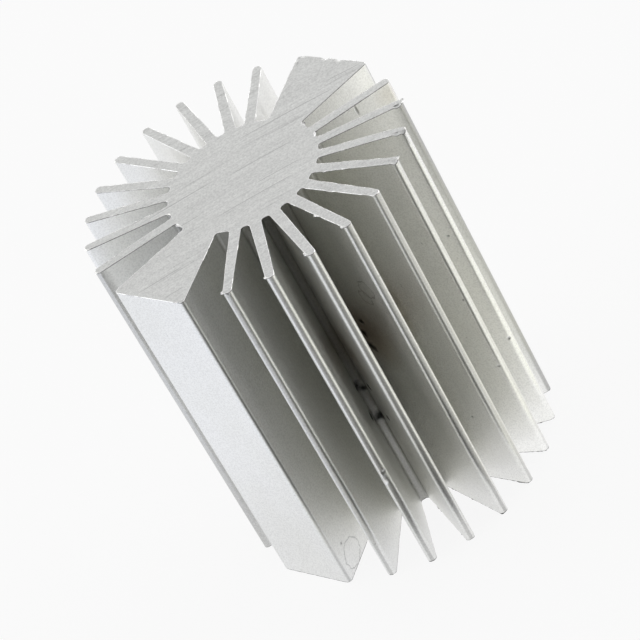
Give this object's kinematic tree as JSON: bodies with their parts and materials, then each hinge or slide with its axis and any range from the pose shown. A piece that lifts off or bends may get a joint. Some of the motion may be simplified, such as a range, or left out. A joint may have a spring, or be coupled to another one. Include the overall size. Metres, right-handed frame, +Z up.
{
  "type": "heat sink",
  "caption": "Round extruded aluminium heat sink: solid core, two opposite flat-faced lobes, and a fan of tapered radial fins on each side between them.",
  "frame": {"origin": "centre of the section on the lower sawn end", "axes": "+Z up along the extrusion, X through the two lobes, Y through the middle fin on each side"},
  "size_m": [0.0494, 0.05, 0.0595],
  "materials": {
    "bare_aluminium": "bare extruded sides with sawn ends"
  },
  "bodies": {
    "root": {"heat_sink": "bare_aluminium"}
  },
  "joints": []
}
